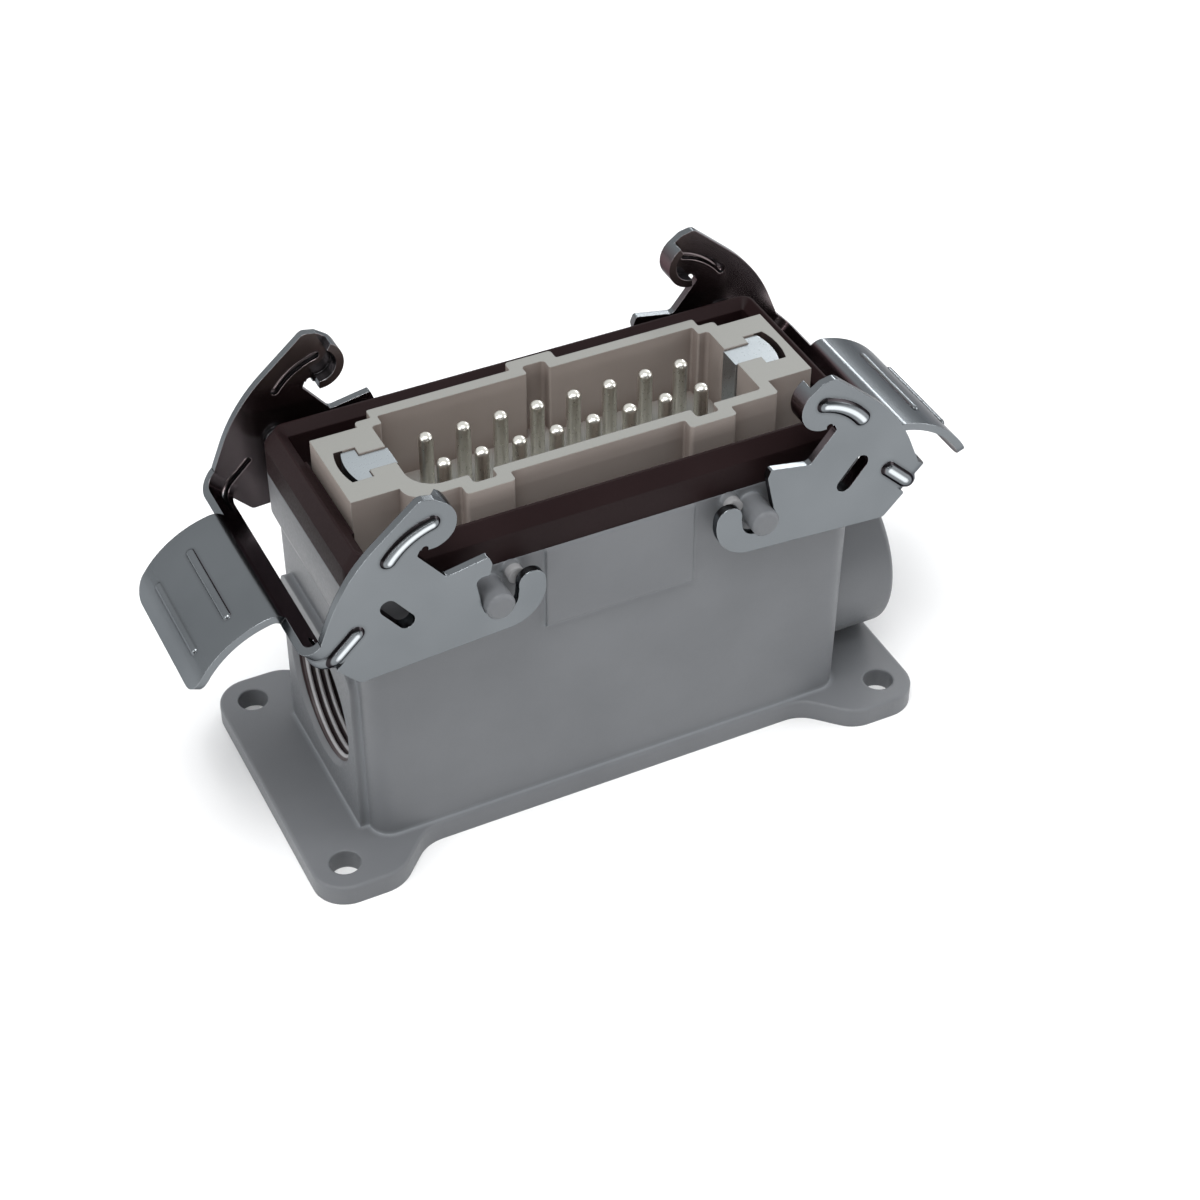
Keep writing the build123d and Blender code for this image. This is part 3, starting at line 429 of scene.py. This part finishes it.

# Thread look: its dark brown base is painted shade inside the entry, and its creases get painted shade
THREAD_LOOK = {
    "dark": srgb(50, 36, 38), "light": srgb(58, 43, 45), "edge_colour": srgb(62, 48, 50),
    "crease_light_and_shade": srgb(20, 10, 12), "crease_depth": 0.6,
    "edge_wear": 0.1, "roughness": (0.35, 0.45), "edge_radius": 0.08 * MM,
    "grain_scale": 2600.0, "bump_depth": 0.01 * MM, "bump_strength": 0.3,
}
# In each look the crease colour is painted into narrow creases: painted shade, except for the housing's
# lighter painted highlight
LOOKS = {
    "housing_paint": {
        "dark": srgb(102, 104, 107), "light": srgb(107, 109, 112),
        "edge_colour": srgb(132, 136, 140), "ior": 1.42,
        # Lighter crease colour: a painted highlight along the housing's concave creases and foot
        "crease_light_and_shade": srgb(146, 150, 154), "crease_reach": 1.0 * MM, "crease_depth": 1.2,
        "edge_wear": 0.3, "roughness": (0.4, 0.5), "edge_radius": 0.6 * MM,
        "grain_scale": 1800.0, "bump_depth": 0.02 * MM, "bump_strength": 0.3, "zones": housing_zones,
    },
    "lever_zinc": {
        "dark": srgb(114, 118, 121), "light": srgb(120, 124, 127), "edge_colour": srgb(190, 195, 198),
        "crease_light_and_shade": srgb(24, 20, 22), "crease_reach": 0.7 * MM, "crease_depth": 2.5,
        "grazing": (0.4, 0.4, 0.41, 1.0),
        "edge_wear": 0.5, "metallic": 1.0, "roughness": (0.2, 0.23), "edge_radius": 0.18 * MM,
        "grain_scale": 3000.0, "bump_depth": 0.002 * MM, "bump_strength": 0.2, "zones": lever_zones,
    },
    "seal_rubber": {
        "dark": srgb(29, 17, 18), "light": srgb(33, 21, 22), "edge_colour": srgb(54, 43, 43),
        "crease_light_and_shade": srgb(16, 10, 11), "crease_depth": 0.6, "ior": 1.4, "specular": 0.14,
        "edge_wear": 0.3, "roughness": (0.45, 0.55), "edge_radius": 0.3 * MM,
        "grain_scale": 2200.0, "bump_depth": 0.012 * MM, "bump_strength": 0.3,
    },
    "insert_plastic": {
        "dark": srgb(143, 133, 127), "light": srgb(149, 139, 133), "edge_colour": srgb(184, 184, 179),
        # A crease reach of 4 mm paints shade deep into the recesses around the insert
        "crease_light_and_shade": srgb(96, 80, 73), "crease_reach": 4.0 * MM, "crease_depth": 0.9,
        "edge_wear": 0.6, "roughness": (0.45, 0.55), "edge_radius": 0.22 * MM,
        "grain_scale": 3200.0, "bump_depth": 0.008 * MM, "bump_strength": 0.25, "zones": insert_zones,
    },
    "contact_silver": {
        "dark": srgb(180, 187, 191), "light": srgb(190, 197, 201), "edge_colour": srgb(226, 231, 234),
        "crease_light_and_shade": srgb(40, 36, 36), "crease_reach": 0.5 * MM,
        "edge_wear": 0.3, "metallic": 1.0, "roughness": (0.27, 0.31), "edge_radius": 0.1 * MM,
        "grain_scale": 2600.0, "bump_depth": 0.002 * MM, "bump_strength": 0.2, "zones": pin_zones,
    },
    "screw_steel": {
        "dark": srgb(160, 162, 163), "light": srgb(172, 174, 175), "edge_colour": srgb(214, 214, 212),
        "crease_light_and_shade": srgb(36, 32, 32), "crease_reach": 0.6 * MM,
        "edge_wear": 0.5, "metallic": 1.0, "roughness": (0.24, 0.3), "edge_radius": 0.12 * MM,
        "grain_scale": 2600.0, "bump_depth": 0.004 * MM, "bump_strength": 0.3,
    },
}


def finish_nodes():
    """Gives every carried-over node its slot's material."""
    materials = {slot: finish(slot, look) for slot, look in LOOKS.items()}
    for row in frame["record"]["subparts"]:
        mesh = frame["nodes"][row["node"]].data
        mesh.materials.clear()
        mesh.materials.append(materials[row["material_slot"]])


def mesh_object(name, mesh_maker, material, body):
    """A finished piece from a bmesh, riding on a body."""
    mesh = bpy.data.meshes.new(name)
    work = bmesh.new()
    mesh_maker(work)
    bmesh.ops.recalc_face_normals(work, faces=work.faces)
    work.to_mesh(mesh)
    work.free()
    for polygon in mesh.polygons:
        polygon.use_smooth = True
    mesh.materials.append(material)
    piece = bpy.data.objects.new(name, mesh)
    bpy.context.scene.collection.objects.link(piece)
    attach(piece, body)
    return piece


def entry_thread(start_x, end_x, axis_z):
    """The helical ridge of a cable thread inside an entry, along X."""
    def make(work):
        turns = abs(end_x - start_x) / THREAD_PITCH
        steps = int(turns * THREAD_STEPS_PER_TURN)
        sunk = THREAD_MAJOR_R + THREAD_SINK
        root = THREAD_MAJOR_R - THREAD_ROOT_LIFT
        crest = THREAD_MAJOR_R - THREAD_DEPTH
        half = THREAD_PITCH * THREAD_HALF_SHARE
        foot = THREAD_PITCH * THREAD_FOOT_SHARE
        flat = THREAD_PITCH * THREAD_FLAT_SHARE
        profile = [(-half, sunk), (-half, root), (-foot, root), (-flat, crest)]
        profile += [(flat, crest), (foot, root), (half, root), (half, sunk)]
        verts = [work.verts.new((start_x + x, 0.0, axis_z + r)) for x, r in profile]
        face = work.faces.new(verts)
        bmesh.ops.spin(
            work, geom=[face, *face.edges, *face.verts], cent=(0, 0, axis_z), axis=(1, 0, 0),
            dvec=((end_x - start_x) / steps, 0, 0), angle=tau * turns, steps=steps, use_merge=False,
        )
    return make


def camera():
    """The camera at the photograph's viewing angle."""
    right = Vector((cos(VIEW_AZIMUTH), sin(VIEW_AZIMUTH), 0))
    back = Vector((
        sin(VIEW_AZIMUTH) * cos(VIEW_ELEVATION),
        -cos(VIEW_AZIMUTH) * cos(VIEW_ELEVATION),
        sin(VIEW_ELEVATION),
    ))
    up = back.cross(right)
    across = right * cos(VIEW_ROLL) + up * sin(VIEW_ROLL)
    upward = up * cos(VIEW_ROLL) - right * sin(VIEW_ROLL)
    eye = back * VIEW_DISTANCE + across * VIEW_ACROSS + upward * VIEW_UP
    data = bpy.data.cameras.new("camera")
    data.sensor_width = SENSOR_WIDTH
    data.lens = LENS
    data.clip_start = NEAR_CLIP
    data.clip_end = FAR_CLIP
    view = bpy.data.objects.new("camera", data)
    turn = Matrix((across, upward, back)).transposed().to_4x4()
    view.matrix_world = Matrix.Translation(eye) @ turn
    bpy.context.scene.collection.objects.link(view)
    bpy.context.scene.camera = view


def soft_box(name, place, size, power):
    """A rectangular lamp that faces the part's middle."""
    data = bpy.data.lights.new(name, "AREA")
    data.shape = "RECTANGLE"
    data.size, data.size_y = size
    data.energy = power
    lamp = bpy.data.objects.new(name, data)
    lamp.location = place
    lamp.rotation_euler = (Vector(place) - Vector(LAMPS_AIM)).to_track_quat("Z", "Y").to_euler()
    bpy.context.scene.collection.objects.link(lamp)


def studio():
    """A plain pale floor and backdrop under soft light."""
    world = bpy.data.worlds.new("studio")
    world.use_nodes = True
    tree = world.node_tree
    ground = tree.nodes["Background"]
    ground.inputs["Color"].default_value = DOME_COLOUR
    ways = add_node(tree, "ShaderNodeTexCoord", (-800, 0))
    height = add_node(tree, "ShaderNodeVectorMath", (-600, 0), operation="DOT_PRODUCT")
    height.inputs[1].default_value = DOME_WAY
    dome = add_node(tree, "ShaderNodeMapRange", (-400, 0), interpolation_type="SMOOTHSTEP")
    dome.inputs["From Min"].default_value, dome.inputs["From Max"].default_value = DOME_RISE
    dome.inputs["To Min"].default_value, dome.inputs["To Max"].default_value = DOME_LIGHT
    link(tree, ways.outputs["Generated"], height.inputs[0])
    link(tree, height.outputs["Value"], dome.inputs["Value"])
    rays = add_node(tree, "ShaderNodeLightPath", (-400, 300))
    backdrop = add_node(tree, "ShaderNodeMix", (-200, 0), data_type="FLOAT")
    backdrop.inputs[3].default_value = BACKDROP_LIGHT
    link(tree, rays.outputs["Is Camera Ray"], backdrop.inputs["Factor"])
    link(tree, dome.outputs[0], backdrop.inputs[2])
    link(tree, backdrop.outputs[0], ground.inputs["Strength"])
    bpy.context.scene.world = world
    bpy.context.scene.view_settings.view_transform = "Standard"
    for name, place, size, power in LAMPS:
        soft_box(name, place, size, power)
    mesh = bpy.data.meshes.new("floor")
    work = bmesh.new()
    bmesh.ops.create_grid(work, x_segments=1, y_segments=1, size=FLOOR_HALF)
    work.to_mesh(mesh)
    work.free()
    floor = bpy.data.objects.new("floor", mesh)
    bpy.context.scene.collection.objects.link(floor)
    paper = bpy.data.materials.new("floor_paper")
    paper.use_nodes = True
    shader = paper.node_tree.nodes["Principled BSDF"]
    shader.inputs["Base Color"].default_value = FLOOR_COLOUR
    shader.inputs["Roughness"].default_value = FLOOR_ROUGHNESS
    mesh.materials.append(paper)


finish_nodes()
for name, start_x, end_x, axis_z in THREADS:
    thread = finish(name + "_metal", {**THREAD_LOOK, "zones": thread_zones(axis_z)})
    mesh_object(name, entry_thread(start_x, end_x, axis_z), thread, "base")
camera()
studio()
